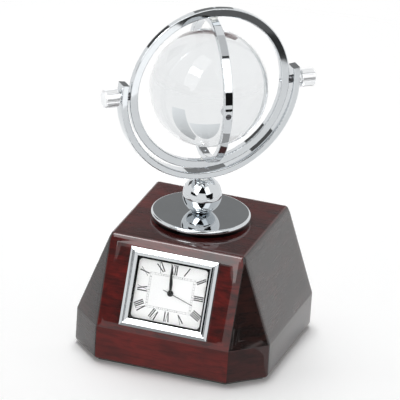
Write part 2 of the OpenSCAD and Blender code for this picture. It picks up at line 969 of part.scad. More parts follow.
// Brass spring that bridges the cell and stands on the cover
module battery_clip() {
    leg_x = cell_d / 2 + drop_gap + cell_wall + drop_gap;
    clip_top = cell_z - seat_gap;
    color([0.80, 0.66, 0.34])
        at_dial()
            translate([0, cell_y, 0]) {
                translate([-leg_x - clip_t, -clip_w / 2, clip_top - clip_t])
                    cube([2 * (leg_x + clip_t), clip_w, clip_t]);
                for (x = [-leg_x - clip_t, leg_x])
                    translate([x, -clip_w / 2, clip_top - clip_t])
                        cube([clip_t, clip_w, cover_z - clip_top + clip_t]);
            }
}

module back_cover() {
    spigot_r = can_in / 2 - drop_gap;
    color([0.09, 0.09, 0.10])
        at_dial()
            difference() {
                union() {
                    translate([0, 0, -can_depth - back_t])
                        cylinder(d = can_d, h = back_t);
                    tube(spigot_r, spigot_r - can_wall, -can_depth - back_t / 2, -can_depth + spigot_h);
                }
                at_stem()
                    translate([0, 0, -can_depth - back_t - over])
                        cylinder(d = set_knob_d + 4 * drop_gap, h = back_t + spigot_h + 2 * over);
            }
}

// Clock insert: hands and motion work

// Hand with a round hub, pointing at twelve; its stem widens to a blade and narrows to the tip
module hand(len, tail, root_w, blade_w, blade_at, end_w, bore_r, low, angle) {
    hub_r = bore_r + hub_wall;
    rotate([0, 0, -angle])
        difference() {
            translate([0, 0, low])
                linear_extrude(hand_t) {
                    polygon([[-root_w / 2, -tail], [root_w / 2, -tail], [root_w / 2, 0],
                             [blade_w / 2, blade_at], [end_w / 2, len], [-end_w / 2, len],
                             [-blade_w / 2, blade_at], [-root_w / 2, 0]]);
                    circle(hub_r);
                }
            translate([0, 0, low - over])
                cylinder(r = bore_r, h = hand_t + 2 * over);
        }
}

module hour_hand() {
    bore_r = hour_pipe_out + fix_gap;
    color([0.03, 0.03, 0.03])
        at_dial()
            hand(hour_len, bore_r, stem_w, hour_blade_w, hour_blade_at, tip_w, bore_r, hour_z,
                 hour_angle);
}

module minute_hand() {
    bore_r = minute_pipe_out + fix_gap;
    color([0.03, 0.03, 0.03])
        at_dial()
            hand(minute_len, bore_r, stem_w, minute_blade_w, minute_blade_at, tip_w, bore_r, minute_z,
                 minute_angle);
}

module second_hand() {
    bore_r = arbor_d / 2 + fix_gap;
    color([0.35, 0.35, 0.36])
        at_dial()
            hand(second_len, second_tail, second_w, second_w, second_len / 2, second_w, bore_r, second_z,
                 second_angle);
}

module hour_wheel() {
    color([0.80, 0.66, 0.34])
        at_dial() {
            gear(hour_teeth, -90, hour_gear_z, hour_pipe_in);
            tube(hour_pipe_out, hour_pipe_in, hour_gear_z, hour_z + hand_t + pipe_proud);
        }
}

module cannon_pinion() {
    color([0.80, 0.66, 0.34])
        at_dial() {
            gear(cannon_teeth, -90, minute_gear_z, minute_pipe_in);
            tube(minute_pipe_out, minute_pipe_in, minute_gear_z - gear_gap / 2, minute_z + hand_t + pipe_proud);
        }
}

module seconds_arbor() {
    color([0.70, 0.71, 0.73])
        at_dial() {
            tube(arbor_d / 2, 0, cover_z + pivot_end_play, second_z + hand_t + pipe_proud);
            translate([0, 0, second_gear_z])
                linear_extrude(gear_t)
                    polygon(tooth_ring(second_gear_teeth, 2 * second_gear_r / second_gear_teeth));
        }
}

// Wheel, pinion and stem that carry the setting knob and drive the hour wheel
module minute_wheel() {
    color([0.80, 0.66, 0.34])
        at_dial()
            at_stem() {
                gear(wheel_teeth, 90 + 180 / wheel_teeth, minute_gear_z, 0.5 * stem_d / 2);
                gear(pinion_teeth, 90 + 180 / pinion_teeth, hour_gear_z, 0.5 * stem_d / 2);
                tube(stem_d / 2, 0, set_knob_z + set_knob_h / 2, hour_gear_z + gear_t + pivot_end_play);
                tube(arbor_d / 2, 0, hour_gear_z, tray_z - pivot_end_play);
            }
}

module setting_knob() {
    grips = 16;
    grip_r = 0.5;
    color([0.14, 0.14, 0.15])
        at_dial()
            at_stem()
                difference() {
                    tube(set_knob_d / 2, 0, set_knob_z, set_knob_z + set_knob_h);
                    translate([0, 0, set_knob_z + set_knob_h / 2])
                        cylinder(r = stem_d / 2 + fix_gap, h = set_knob_h);
                    for (i = [0 : grips - 1])
                        rotate([0, 0, 360 / grips * i])
                            translate([set_knob_d / 2 + 0.3 * grip_r, 0, set_knob_z - over / 2])
                                cylinder(r = grip_r, h = set_knob_h + over);
                }
}

base_block();
felt_pad();
base_bolt();
bolt_washer();
base_disc();
ball_pedestal();
swivel_washer();
yoke_screw();
yoke();
left_spacer();
right_spacer();
left_knob();
right_knob();
hoop();
upper_pivot_pin();
lower_pivot_pin();
upper_washer();
lower_washer();
meridian_ring();
front_globe_pin();
rear_globe_pin();
front_collar();
rear_collar();
globe();
clock_bezel();
clock_lens();
dial_frame();
dial();
insert_housing();
grip_ring();
movement_case();
movement_cover();
circuit_board();
drive_coil();
battery();
battery_clip();
back_cover();
minute_hand();
cannon_pinion();
hour_hand();
hour_wheel();
second_hand();
seconds_arbor();
minute_wheel();
setting_knob();
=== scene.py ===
"""Crystal desk clock: finishes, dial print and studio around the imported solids."""

import itertools
import json
import math

import bmesh
import bpy
from mathutils import Matrix, Vector


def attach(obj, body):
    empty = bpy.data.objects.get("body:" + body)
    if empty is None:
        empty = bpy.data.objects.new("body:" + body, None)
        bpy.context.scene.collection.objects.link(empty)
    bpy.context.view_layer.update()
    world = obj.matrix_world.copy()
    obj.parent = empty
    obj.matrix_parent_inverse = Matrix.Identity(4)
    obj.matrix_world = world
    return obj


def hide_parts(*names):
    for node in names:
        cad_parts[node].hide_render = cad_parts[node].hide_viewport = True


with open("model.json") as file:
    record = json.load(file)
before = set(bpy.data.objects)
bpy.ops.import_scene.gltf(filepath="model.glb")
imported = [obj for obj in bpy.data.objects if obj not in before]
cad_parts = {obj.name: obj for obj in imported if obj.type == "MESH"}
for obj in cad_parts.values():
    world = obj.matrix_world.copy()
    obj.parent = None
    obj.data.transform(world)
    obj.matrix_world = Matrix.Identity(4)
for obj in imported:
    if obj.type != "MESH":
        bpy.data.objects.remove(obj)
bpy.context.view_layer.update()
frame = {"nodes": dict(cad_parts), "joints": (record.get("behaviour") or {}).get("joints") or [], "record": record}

NODES = frame["nodes"]
JOINTS = {joint["name"]: joint for joint in frame["joints"]}
MM = 0.001

# Sizes repeated from the solids, in millimetres
BASE_W = 103.8
TOP_W = 71.2
BASE_H = 64.6
BAND_H = 18.8
CORNER_CUT = 16.6
EDGE_R = 2.2
FELT_T = 1.0
DISC_R = 25.5
DISC_T = 4.0
DISC_BORE_R = 3.2
GLOBE_R = 30.0
GLOBE_BORE_R = 1.05
GLOBE_BORE_END = 24.7
BEZEL_W = 46.7
BEZEL_H = 40.4
MOULDING_W = 4.05
RIM_W = 1.7
RIM_H = 2.0
GROOVE_Z = 1.4
GROOVE_IN = 2.2
CROWN_Z = 1.72
SILL_Z = 1.22
LIP_Z = 0.92
SEAT_IN = 3.33
LENS_W = 40.0
LENS_H = 33.7
LENS_CORNER = 1.2
WINDOW_W = 36.6
WINDOW_H = 30.3
WINDOW_CORNER = 2.0
RECESS_W = 42.4
RECESS_H = 36.1
RECESS_CORNER = 1.2
RECESS_DEPTH = 3.6
POCKET_D = 34.4
POCKET_DEPTH = 20.5
DIAL_LEVEL = -1.8
SECOND_LEVEL = -0.6

# Fineness of meshes, and differences too small to count
TURNED_STEPS = 160
CORNER_STEPS = 8
TINY = 1e-6
ON_PLANE = 1e-4

# UV length of a millimetre of veneer, and refractive indices
VENEER_UNIT = 0.01
LACQUER_INDEX = 1.49
CRYSTAL_INDEX = 1.52
LENS_INDEX = 1.5

# How far the tone of plating and of crystal wanders
PLATING_SPREAD = 0.023
CRYSTAL_SPREAD = 0.015

# Camera fitted to the photograph, in degrees, metres and millimetres of lens
VIEW_TURN = 17.37
VIEW_RISE = 24.0
VIEW_ROLL = 3.68
VIEW_DISTANCE = 3.0443
VIEW_AIM = Vector((-0.00087, -0.0002, 0.07551))
LENS = 540.0
SENSOR = 36.0


def axes(origin, x_axis, z_axis):
    """Placement whose X and Z lie along two directions at right angles to each other."""
    z_dir = Vector(z_axis).normalized()
    x_dir = Vector(x_axis).normalized()
    place = Matrix((x_dir, z_dir.cross(x_dir), z_dir)).transposed().to_4x4()
    place.translation = origin
    return place


def bearing(turn, rise):
    """Direction at a bearing from +X and an angle above the level, in degrees."""
    turn = math.radians(turn)
    rise = math.radians(rise)
    return Vector((math.cos(rise) * math.cos(turn), math.cos(rise) * math.sin(turn), math.sin(rise)))


UP = Vector((0, 0, 1))
CENTRE = Vector(JOINTS["hoop_tilt"]["pos_m"])
GLOBE_AXIS = Vector(JOINTS["globe_turn"]["axis"])
DIAL_NORMAL = -Vector(JOINTS["minute_turn"]["axis"])
DIAL = axes(Vector(JOINTS["minute_turn"]["pos_m"]), (1, 0, 0), DIAL_NORMAL)
WOOD = Matrix.Translation((0, 0, FELT_T * MM))


# Shader building blocks

class Finish:
    """A Principled material with its nodes at hand; textures are in millimetres of the object."""

    def __init__(self, name, colour, rough, metallic=0.0, source="Object", unit=MM):
        self.material = bpy.data.materials.new(name)
        self.material.use_nodes = True
        self.nodes = self.material.node_tree.nodes
        self.links = self.material.node_tree.links
        self.shader = self.nodes["Principled BSDF"]
        self.set("Base Color", (*colour, 1))
        self.set("Roughness", rough)
        self.set("Metallic", metallic)
        self.coords = self.nodes.new("ShaderNodeTexCoord").outputs[source]
        self.unit = unit
        self.height = None

    def set(self, socket, value):
        """One even value for a socket of the shader."""
        self.shader.inputs[socket].default_value = value

    def noise(self, repeats, detail=4.0, rough=0.55, warp=0.0):
        """Noise of so many repeats a millimetre, one number or one for each axis."""
        scale = repeats if isinstance(repeats, tuple) else (repeats, repeats, repeats)
        mapping = self.nodes.new("ShaderNodeMapping")
        mapping.inputs["Scale"].default_value = [value / self.unit for value in scale]
        self.links.new(self.coords, mapping.inputs["Vector"])
        node = self.nodes.new("ShaderNodeTexNoise")
        node.inputs["Scale"].default_value = 1.0
        node.inputs["Detail"].default_value = detail
        node.inputs["Roughness"].default_value = rough
        node.inputs["Distortion"].default_value = warp
        self.links.new(mapping.outputs["Vector"], node.inputs["Vector"])
        return node.outputs["Fac"]

    def ramp(self, source, stops):
        """Colours or grey levels along a texture's value."""
        node = self.nodes.new("ShaderNodeValToRGB")
        ends = node.color_ramp.elements
        while len(ends) < len(stops):
            ends.new(0.5)
        for end, (place, colour) in zip(ends, stops):
            end.position = place
            end.color = (*colour, 1) if isinstance(colour, (tuple, list)) else (colour, colour, colour, 1)
        self.links.new(source, node.inputs["Fac"])
        return node.outputs["Color"]

    def mix(self, factor, first, second, mode="MIX"):
        """Two colours blended, the second at a share of its strength."""
        node = self.nodes.new("ShaderNodeMix")
        node.data_type = "RGBA"
        node.blend_type = mode
        node.inputs["Factor"].default_value = factor
        for socket, value in (("A", first), ("B", second)):
            target = next(s for s in node.inputs if s.name == socket and s.type == "RGBA")
            self.links.new(value, target)
        return next(s for s in node.outputs if s.type == "RGBA")

    def link(self, source, socket):
        """A texture for a socket of the shader."""
        self.links.new(source, self.shader.inputs[socket])

    def bump(self, source, depth, socket="Normal", strength=1.0):
        """Relief of so many millimetres; a second call adds to the first."""
        node = self.nodes.new("ShaderNodeBump")
        node.inputs["Strength"].default_value = strength
        node.inputs["Distance"].default_value = depth * MM
        self.links.new(source, node.inputs["Height"])
        if self.height is not None and socket == "Normal":
            self.links.new(self.height, node.inputs["Normal"])
        self.link(node.outputs["Normal"], socket)
        if socket == "Normal":
            self.height = node.outputs["Normal"]


def worn(name, colour, rough, metallic=0.0, tone=0.08, grain=2.0, relief=0.003, spread=0.35):
    """A moulded, cast or drawn surface: slight blotches of tone and gloss, and fine relief."""
    made = Finish(name, colour, rough, metallic)
    broad = made.noise(0.18, detail=5)
    fine = made.noise(grain, detail=3)
    dark = [value * (1 - tone) for value in colour]
    light = [min(1.0, value * (1 + tone)) for value in colour]
    made.link(made.ramp(broad, [(0.35, dark), (0.65, light)]), "Base Color")
    low = rough * (1 - spread)
    high = min(1.0, rough * (1 + spread))
    made.link(made.ramp(broad, [(0.3, high), (0.7, low)]), "Roughness")
    made.bump(fine, relief)
    return made


def plain(name, colour, rough, **look):
    """Material of a worn surface that needs nothing more."""
    return worn(name, colour, rough, **look).material


def matt(name, colour):
    """Printing ink or matt paint."""
    made = worn(name, colour, rough=0.70, tone=0.20, grain=3.0, relief=0.002)
    made.set("Specular IOR Level", 0.05)
    return made.material


def chrome(name, low, high, tone):
    """Bright plating whose haze runs between two roughnesses and a little to either side of its tone."""
    made = Finish(name, tone, low, metallic=1.0)
    haze = made.noise(0.12, detail=6, rough=0.65)
    dim = [value * (1 - PLATING_SPREAD) for value in tone]
    clear = [value * (1 + PLATING_SPREAD) for value in tone]
    made.link(made.ramp(haze, [(0.35, dim), (0.65, clear)]), "Base Color")
    made.link(made.ramp(haze, [(0.3, high), (0.75, low)]), "Roughness")
    polish = made.noise((0.9, 0.9, 0.25), detail=5)
    made.bump(polish, 0.00005)
    return made.material


def rosewood(name, tones):
    """Figured veneer, its grain level on every face, under a clear lacquer; tones run from dark to light."""
    made = Finish(name, tones[1], 0.42, source="UV", unit=VENEER_UNIT)
    cloud = made.noise((0.025, 0.060, 1), detail=3, warp=0.4)
    figure = made.noise((0.060, 0.160, 1), detail=6, rough=0.62, warp=0.8)
    streak = made.noise((0.080, 1.10, 1), detail=6, rough=0.6, warp=0.4)
    pores = made.noise((0.25, 3.6, 1), detail=4, rough=0.7)
    red = made.ramp(figure, list(zip((0.30, 0.43, 0.55, 0.70), tones)))
    lines = made.ramp(streak, [(0.34, 0.55), (0.50, 0.90), (0.64, 1.0)])
    toned = made.mix(0.8, red, lines, "MULTIPLY")
    shade = made.ramp(cloud, [(0.38, 0.55), (0.60, 1.0)])
    toned = made.mix(0.8, toned, shade, "MULTIPLY")
    dots = made.ramp(pores, [(0.34, 0.60), (0.46, 1.0)])
    made.link(made.mix(0.5, toned, dots, "MULTIPLY"), "Base Color")
    made.link(made.ramp(streak, [(0.3, 0.58), (0.7, 0.40)]), "Roughness")
    made.bump(pores, 0.006, strength=0.4)
    made.set("Specular IOR Level", 0.1)
    made.set("Coat Weight", 1.0)
    made.set("Coat Roughness", 0.02)
    made.set("Coat IOR", LACQUER_INDEX)
    flow = made.noise((0.045, 0.045, 1), detail=2)
    made.bump(flow, 0.006, "Coat Normal")
    return made.material


def crystal(name, tint, index, glint):
    """Clear polished crystal or glass with a faint haze; glint is the tint of what it mirrors."""
    made = Finish(name, tint, 0.0)
    made.set("Transmission Weight", 1.0)
    made.set("IOR", index)
    haze = made.noise(0.05, detail=3)
    pale = [min(1.0, value * (1 + CRYSTAL_SPREAD)) for value in tint]
    made.link(made.ramp(haze, [(0.35, tint), (0.65, pale)]), "Base Color")
    made.bump(haze, 0.004)
    made.set("Specular Tint", (*glint, 1))
    return made.material


def felt():
    """Dark green felt of tangled fibres with a soft nap."""
    made = Finish("felt", (0.020, 0.042, 0.032), 0.95)
    fibre = made.noise((3.0, 3.0, 1.2), detail=8, rough=0.75, warp=1.5)
    nap = made.noise(0.35, detail=4)
    strands = made.ramp(fibre, [(0.3, (0.010, 0.022, 0.017)), (0.7, (0.034, 0.066, 0.050))])
    tufts = made.ramp(nap, [(0.3, (0.014, 0.030, 0.023)), (0.7, (0.026, 0.054, 0.041))])
    made.link(made.mix(0.5, strands, tufts), "Base Color")
    made.bump(fibre, 0.12)
    made.set("Sheen Weight", 0.4)
    made.set("Sheen Roughness", 0.5)
    return made.material


def dial_card():
    """White card with a fine tooth."""
    made = Finish("dial_white", (0.93, 0.935, 0.93), 0.45)
    tooth = made.noise(4.0, detail=4)
    cloud = made.noise(0.07, detail=3)
    made.link(made.ramp(cloud, [(0.35, (0.915, 0.92, 0.915)), (0.65, (0.945, 0.948, 0.944))]), "Base Color")
    made.link(made.ramp(tooth, [(0.3, 0.80), (0.7, 0.66)]), "Roughness")
    made.bump(tooth, 0.002)
    made.set("Specular IOR Level", 0.05)
    return made.material


# Tones of the block's veneers from dark to light; the first is the figured front's. The others are the same
# rosewood with painted light and shade: the sides, facets and right corner bands painted darker as shade, the foot
# bands painted lighter as light, and the top painted for the light from above.
VENEERS_WITH_PAINTED_LIGHT_AND_SHADE = {
    "rosewood": ((0.018, 0.0031, 0.0026), (0.054, 0.0051, 0.0042),
                 (0.106, 0.0070, 0.0054), (0.152, 0.0094, 0.0070)),
    "side_veneer_painted_shade": ((0.006, 0.0032, 0.0028), (0.012, 0.0048, 0.0040),
                    (0.022, 0.0070, 0.0056), (0.032, 0.0090, 0.0070)),
    "top_veneer_painted_light": ((0.040, 0.0044, 0.0038), (0.058, 0.0054, 0.0046),
                   (0.078, 0.0064, 0.0052), (0.096, 0.0074, 0.0060)),
    "corner_veneer_painted_shade": ((0.022, 0.0048, 0.0042), (0.032, 0.0058, 0.0050),
                      (0.044, 0.0070, 0.0058), (0.054, 0.0080, 0.0066)),
    "band_veneer_painted_light": ((0.070, 0.0062, 0.0050), (0.098, 0.0076, 0.0060),
                    (0.126, 0.0088, 0.0068), (0.152, 0.0098, 0.0076)),
}
CHROME_TONE = (0.64, 0.665, 0.685)
SATIN_TONE = (0.90, 0.91, 0.92)
CRYSTAL_TINT = (0.820, 0.835, 0.843)
CRYSTAL_GLINT = (0.35, 0.35, 0.35)
LENS_TINT = (0.990, 0.993, 0.993)
WHITE = (1.0, 1.0, 1.0)

FINISHES = {name: rosewood(name, tones) for name, tones in VENEERS_WITH_PAINTED_LIGHT_AND_SHADE.items()}
FINISHES.update({
    "felt": felt(),
    "chrome": chrome("polished_chrome", 0.02, 0.045, CHROME_TONE),
    "satin": chrome("satin_chrome", 0.30, 0.38, SATIN_TONE),
    # dark plating used only on the disc's foot, as painted shade and painted reflection
    "painted_shade_chrome": plain("painted_shade_chrome", (0.010, 0.010, 0.011), 0.12, metallic=1.0, tone=0.10, grain=1.6,
                          relief=0.002),
    "steel": plain("bright_steel", (0.62, 0.63, 0.65), 0.22, metallic=1.0, tone=0.05, grain=1.4,
                   relief=0.002),
    "dark_steel": plain("dark_steel", (0.10, 0.10, 0.105), 0.30, metallic=1.0, tone=0.10, grain=1.6),
    "nylon": plain("nylon", (0.80, 0.80, 0.77), 0.38, tone=0.03, grain=2.2, relief=0.004),
    "crystal": crystal("crystal", CRYSTAL_TINT, CRYSTAL_INDEX, CRYSTAL_GLINT),
    "lens_glass": crystal("lens_glass", LENS_TINT, LENS_INDEX, WHITE),
    "black_plastic": plain("black_plastic", (0.012, 0.012, 0.013), 0.34, tone=0.15, grain=2.6, relief=0.006),
    "white_plastic": plain("white_plastic", (0.70, 0.70, 0.67), 0.40, tone=0.04, grain=2.4, relief=0.006),
    "dial_white": dial_card(),
    "rubber": plain("rubber", (0.014, 0.014, 0.014), 0.62, tone=0.20, grain=3.0, relief=0.012),
    "board": plain("circuit_board", (0.018, 0.110, 0.038), 0.35, tone=0.15, grain=0.9, relief=0.01),
    "copper": plain("copper", (0.60, 0.26, 0.12), 0.25, metallic=1.0, tone=0.10, grain=5.0, relief=0.010),
    "brass": plain("brass", (0.68, 0.49, 0.20), 0.24, metallic=1.0, tone=0.07, grain=1.8, relief=0.002),
    "matt_black": matt("matt_black", (0.006, 0.006, 0.006)),
    "hand_grey": matt("hand_grey", (0.13, 0.13, 0.135)),
    "ink": matt("dial_ink", (0.030, 0.031, 0.033)),
})

# Mesh building blocks

def finish_piece(name, mesh, body, material, nodes=(), sharp=30.0):
    """Object from a mesh that is already in place: shaded, carried by its body, standing for its nodes."""
    mesh.shade_smooth()
    mesh.set_sharp_from_angle(angle=math.radians(sharp))
    mesh.materials.clear()
    mesh.materials.append(material)
    obj = bpy.data.objects.new(name, mesh)
    bpy.context.collection.objects.link(obj)
    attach(obj, body)
    if nodes:
        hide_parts(*nodes)
    return obj


def placed(bm, name, place):
    """Mesh from a bmesh in millimetres, in metres at a placement."""
    bmesh.ops.recalc_face_normals(bm, faces=bm.faces)
    mesh = bpy.data.meshes.new(name)
    bm.to_mesh(mesh)
    bm.free()
    mesh.transform(place @ Matrix.Scale(MM, 4))
    return mesh


def lathe(profile, steps):
    """Solid of revolution about Z from (radius, height) points that end where they start or on the axis."""
    bm = bmesh.new()
    rows = []
    for radius, height in profile:
        if radius < TINY:
            rows.append([bm.verts.new((0, 0, height))])
            continue
        turns = [2 * math.pi * i / steps for i in range(steps)]
        rows.append([bm.verts.new((radius * math.cos(a), radius * math.sin(a), height)) for a in turns])
    if profile[0] == profile[-1] and profile[0][0] > 0:
        for spare in rows.pop():
            bm.verts.remove(spare)
        rows.append(rows[0])
    for low, high in zip(rows, rows[1:]):
        for i in range(steps):
            j = (i + 1) % steps
            ring = [low[i % len(low)], low[j % len(low)], high[j % len(high)], high[i % len(high)]]
            bm.faces.new(list(dict.fromkeys(ring)))
    return bm


# Wooden block: faces that crown by PILLOW over PILLOW_W inside their rounded edges

PILLOW = 0.2
PILLOW_W = 5.0
PILLOW_LOOPS = 8
EDGE_BORDER = 1.5
BALL_STEPS = 32
BALL_RINGS = 16
WELD = 0.001
FLAT_ANGLE = math.radians(0.12)
WELL_STEPS = 96

# Shift of the veneer's figure from one face to the next, and what counts as upright, level or sideways
VENEER_STEP = 173.0
UPRIGHT = 0.01
LEVEL = 0.9
SIDEWAYS = 0.5
BLOCK_SHEETS = tuple(VENEERS_WITH_PAINTED_LIGHT_AND_SHADE)


def half_spaces():
    """Planes of the block as (normal, distance)."""
    slope = Vector((BASE_H - BAND_H, 0, (BASE_W - TOP_W) / 2)).normalized()
    facet_foot = (BASE_W - CORNER_CUT) / math.sqrt(2)
    facet_top = TOP_W / math.sqrt(2)
    facet = Vector((BASE_H - BAND_H, 0, facet_foot - facet_top)).normalized()
    planes = [(Vector((0, 0, 1)), BASE_H), (Vector((0, 0, -1)), 0.0)]
    for turn in range(0, 360, 45):
        spin = Matrix.Rotation(math.radians(turn), 3, "Z")
        reach = BASE_W / 2 if turn % 90 == 0 else facet_foot
        lean = slope if turn % 90 == 0 else facet
        planes.append((spin @ Vector((1, 0, 0)), reach))
        planes.append((spin @ lean, lean.x * reach + lean.z * BAND_H))
    return planes


def face_corners(planes, face):
    """Corner points that one face has in the convex body inside a list of planes."""
    found = []
    others = [plane for plane in planes if plane is not face]
    for pair in itertools.combinations(others, 2):
        trio = (face, *pair)
        system = Matrix([plane[0] for plane in trio])
        if abs(system.determinant()) < TINY:
            continue
        point = system.inverted() @ Vector([plane[1] for plane in trio])
        if all(normal.dot(point) <= distance + ON_PLANE for normal, distance in planes):
            found.append(point)
    return found


def crowned(planes, sheet, part):
    """Corners of one face's outline a part of the way out from its flat middle to its rounded edge."""
    normal, distance = planes[sheet]
    border = EDGE_BORDER + PILLOW_W * (1 - part)
    face = (normal, distance - PILLOW * part * part)
    drawn = [face]
    for other, reach in planes:
        if other is not normal:
            drawn.append((other, reach - border * other.cross(normal).length))
    return face_corners(drawn, face)


def soft_block():
    """The faceted block with ball-rounded edges; each face crowns gently towards its flat middle."""
    bm = bmesh.new()
    planes = half_spaces()
    core = [(normal, distance - EDGE_R - PILLOW) for normal, distance in planes]
    for corner in {tuple(round(v, 3) for v in point) for face in core for point in face_corners(core, face)}:
        for ring in range(BALL_RINGS + 1):
            rise = 180 * (ring / BALL_RINGS - 0.5)
            count = 1 if ring in (0, BALL_RINGS) else BALL_STEPS
            for step in range(count):
                bm.verts.new(Vector(corner) + EDGE_R * bearing(360 * step / BALL_STEPS, rise))
    for sheet in range(len(planes)):
        for loop in range(PILLOW_LOOPS):
            for point in crowned(planes, sheet, loop / PILLOW_LOOPS):
                bm.verts.new(point)
    bmesh.ops.remove_doubles(bm, verts=bm.verts, dist=WELD)
    hull = bmesh.ops.convex_hull(bm, input=bm.verts)
    spare = [v for v in hull["geom_interior"] + hull["geom_unused"] if isinstance(v, bmesh.types.BMVert)]
    bmesh.ops.delete(bm, geom=list(set(spare)), context="VERTS")
    bmesh.ops.dissolve_limit(bm, angle_limit=FLAT_ANGLE, verts=bm.verts, edges=bm.edges)
    return bm


def sheet_with_painted_light(normal):
    """Name of the veneer on the face with a normal; the rosewood copies it picks carry painted light and shade for
    the way the face turns.
    """
    upright = abs(normal.z) < UPRIGHT
    if normal.z > LEVEL:
        return "top_veneer_painted_light"
    if upright and SIDEWAYS < normal.x < LEVEL:
        return "corner_veneer_painted_shade"
    if abs(normal.x) > SIDEWAYS:
        return "side_veneer_painted_shade"
    return "band_veneer_painted_light" if upright else "rosewood"


def veneer(mesh, planes):
    """Level grain: each face takes the sheet of the nearest plane, whose tones paint that face lighter or darker
    for the light it gets.
    """
    layer = mesh.uv_layers.new(name="veneer")
    for face in mesh.polygons:
        sheet = max(range(len(planes)), key=lambda i: planes[i][0].dot(face.normal))
        normal = planes[sheet][0]
        # the sheet chosen here paints this face's light or shade into its colour
        face.material_index = BLOCK_SHEETS.index(sheet_with_painted_light(normal))
        along = UP.cross(normal)
        along = along.normalized() if along.length > TINY else Vector((1, 0, 0))
        across = normal.cross(along)
        for corner in face.loop_indices:
            point = mesh.vertices[mesh.loops[corner].vertex_index].co / MM
            spot = Vector((point.dot(along) + VENEER_STEP * sheet, point.dot(across)))
            layer.data[corner].uv = spot * VENEER_UNIT


def cut(mesh, cutter):
    """Mesh less a cutter mesh, both in place."""
    holder = bpy.data.objects.new("cut_from", mesh)
    tool = bpy.data.objects.new("cut_with", cutter)
    for obj in (holder, tool):
        bpy.context.collection.objects.link(obj)
    step = holder.modifiers.new("cut", "BOOLEAN")
    step.operation = "DIFFERENCE"
    step.solver = "EXACT"
    step.object = tool
    bpy.context.view_layer.update()
    graph = bpy.context.evaluated_depsgraph_get()
    result = bpy.data.meshes.new_from_object(holder.evaluated_get(graph))
    for obj in (holder, tool):
        bpy.data.objects.remove(obj)
    return result


def rounded_outline(width, height, radius):
    """Points of a rounded rectangle, anticlockwise."""
    points = []
    for sx, sy, start in ((1, 1, 0), (-1, 1, 90), (-1, -1, 180), (1, -1, 270)):
        for i in range(CORNER_STEPS + 1):
            turn = math.radians(start + 90 * i / CORNER_STEPS)
            points.append((sx * (width / 2 - radius) + radius * math.cos(turn),
                           sy * (height / 2 - radius) + radius * math.sin(turn)))
    return points


def prism(points, low, high):
    """Closed straight-sided block on a flat outline."""
    bm = bmesh.new()
    lower = [bm.verts.new((x, y, low)) for x, y in points]
    upper = [bm.verts.new((x, y, high)) for x, y in points]
    bm.faces.new(lower[::-1])
    bm.faces.new(upper)
    for i in range(len(points)):
        j = (i + 1) % len(points)
        bm.faces.new((lower[i], lower[j], upper[j], upper[i]))
    return bm


wood = placed(soft_block(), "block", WOOD)
recess_line = rounded_outline(RECESS_W, RECESS_H, RECESS_CORNER)
wood = cut(wood, placed(prism(recess_line, -RECESS_DEPTH, EDGE_R), "recess", DIAL))
well_top = -RECESS_DEPTH / 2
well = [(0, -POCKET_DEPTH), (POCKET_D / 2, -POCKET_DEPTH), (POCKET_D / 2, well_top), (0, well_top)]
wood = cut(wood, placed(lathe(well, WELL_STEPS), "well", DIAL))
block = finish_piece("wooden_block", wood, "base", FINISHES["rosewood"], ["base_block"])
# the other sheets are copies of the rosewood with painted light and shade, one for each way a face turns
for sheet_name in BLOCK_SHEETS[1:]:
    wood.materials.append(FINISHES[sheet_name])
veneer(wood, half_spaces())
weights = block.modifiers.new("flat_faces", "WEIGHTED_NORMAL")
weights.keep_sharp = True

# Felt under the foot; its edge is drawn in by so much at each share of its thickness

FELT_INSET = 3.0
FELT_HALF = BASE_W / 2 - FELT_INSET
FELT_CORNER = BASE_W - CORNER_CUT - math.sqrt(2) * FELT_INSET - FELT_HALF
FELT_EDGE = ((0.30, 0.0), (0.06, 0.2), (0.0, 0.5), (0.06, 0.8), (0.22, 1.0))
FELT_STEPS = 24
FELT_WAVE = 0.06
SHORT_RIPPLE = 1.9
LONG_RIPPLE = 0.7


def felt_ring(drawn_in):
    """Outline of the pad, drawn in by a distance, with the slight waves of a hand cut."""
    side = [Vector((FELT_HALF, -FELT_CORNER)), Vector((FELT_HALF, FELT_CORNER))]
    corners = [Matrix.Rotation(math.pi / 2 * quarter, 2) @ spot for quarter in range(4) for spot in side]
    ring = []
    for here, after in zip(corners, corners[1:] + corners[:1]):
        ring += [here.lerp(after, i / FELT_STEPS) for i in range(FELT_STEPS)]
    made = []
    for number, spot in enumerate(ring):
        wave = FELT_WAVE * (1 + math.sin(SHORT_RIPPLE * number) * math.cos(LONG_RIPPLE * number)) / 2
        made.append(spot * (1 - (drawn_in + wave) / FELT_HALF))
    return made


def felt_pad():
    """Closed pad on the felt's outline, with a soft edge."""
    bm = bmesh.new()
    rows = []
    for drawn_in, part in FELT_EDGE:
        rows.append([bm.verts.new((spot.x, spot.y, FELT_T * part)) for spot in felt_ring(drawn_in)])
    for low, high in zip(rows, rows[1:]):
        for i, spot in enumerate(low):
            bm.faces.new((low[i - 1], spot, high[i], high[i - 1]))
    bm.faces.new(rows[0])
    bm.faces.new(rows[-1])
    return bm


pad = finish_piece("felt_sheet", placed(felt_pad(), "felt_sheet", Matrix.Identity(4)), "base",
                   FINISHES["felt"], ["felt_pad"])

# Turned disc under the ball: rolled rim over an undercut foot that is painted black up to the band's height, as
# painted shade and painted reflection of the dark wood under the rim

DISC_ROLL = 1.35
ROLL_STEP = 9
DISC_FOOT_IN = 0.75
DISC_SHADE_BAND = 1.9


def turned_disc():
    """Half section of the disc as (radius, height)."""
    middle = DISC_R - DISC_ROLL
    roll = [math.radians(a) for a in range(-45, 90 + ROLL_STEP, ROLL_STEP)]
    rim = [(middle + DISC_ROLL * math.cos(a), DISC_T - DISC_ROLL * (1 - math.sin(a))) for a in roll]
    return [(DISC_BORE_R, 0), (DISC_R - DISC_FOOT_IN, 0), *rim, (DISC_BORE_R, DISC_T), (DISC_BORE_R, 0)]


